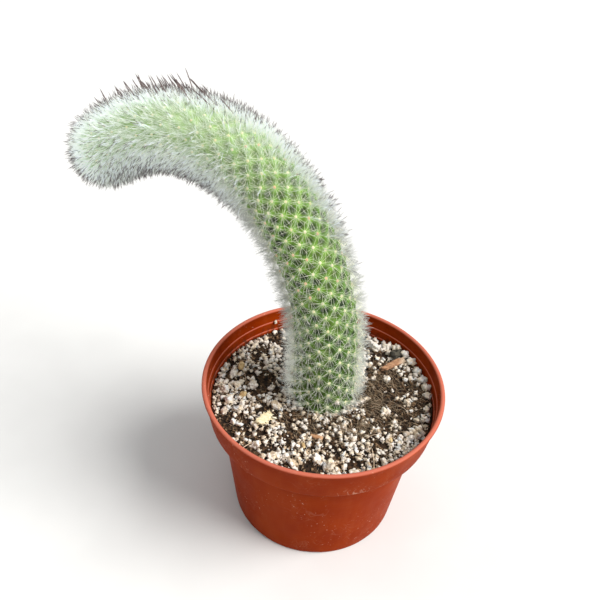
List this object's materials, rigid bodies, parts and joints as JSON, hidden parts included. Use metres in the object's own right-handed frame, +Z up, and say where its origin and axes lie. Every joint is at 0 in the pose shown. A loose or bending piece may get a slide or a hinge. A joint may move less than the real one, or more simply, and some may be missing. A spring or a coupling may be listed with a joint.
{
  "type": "potted monkey tail cactus",
  "caption": "Arching column cactus covered in fine white spines, standing in a filled terracotta-coloured plastic nursery pot.",
  "frame": {"origin": "centre of the pot's underside, on the surface that it stands on", "axes": "+Z up along the pot's axis; the stem arches over towards -X, in a plane parallel to XZ"},
  "size_m": [0.1606, 0.106, 0.1995],
  "materials": {
    "pot_plastic": "moulded terracotta-red plastic, faintly dusty",
    "potting_mix": "dark peat and fibre with white perlite grains",
    "cactus_green": "matt green skin with white felted spots and fine white spines",
    "bark": "dry brown bark",
    "pale_wood": "dry pale chip"
  },
  "bodies": {
    "root": {"pot": "pot_plastic", "soil": "potting_mix", "stem": "cactus_green", "bark_chip_large": "bark", "bark_chip_small": "bark", "pale_chip": "pale_wood"}
  },
  "joints": []
}
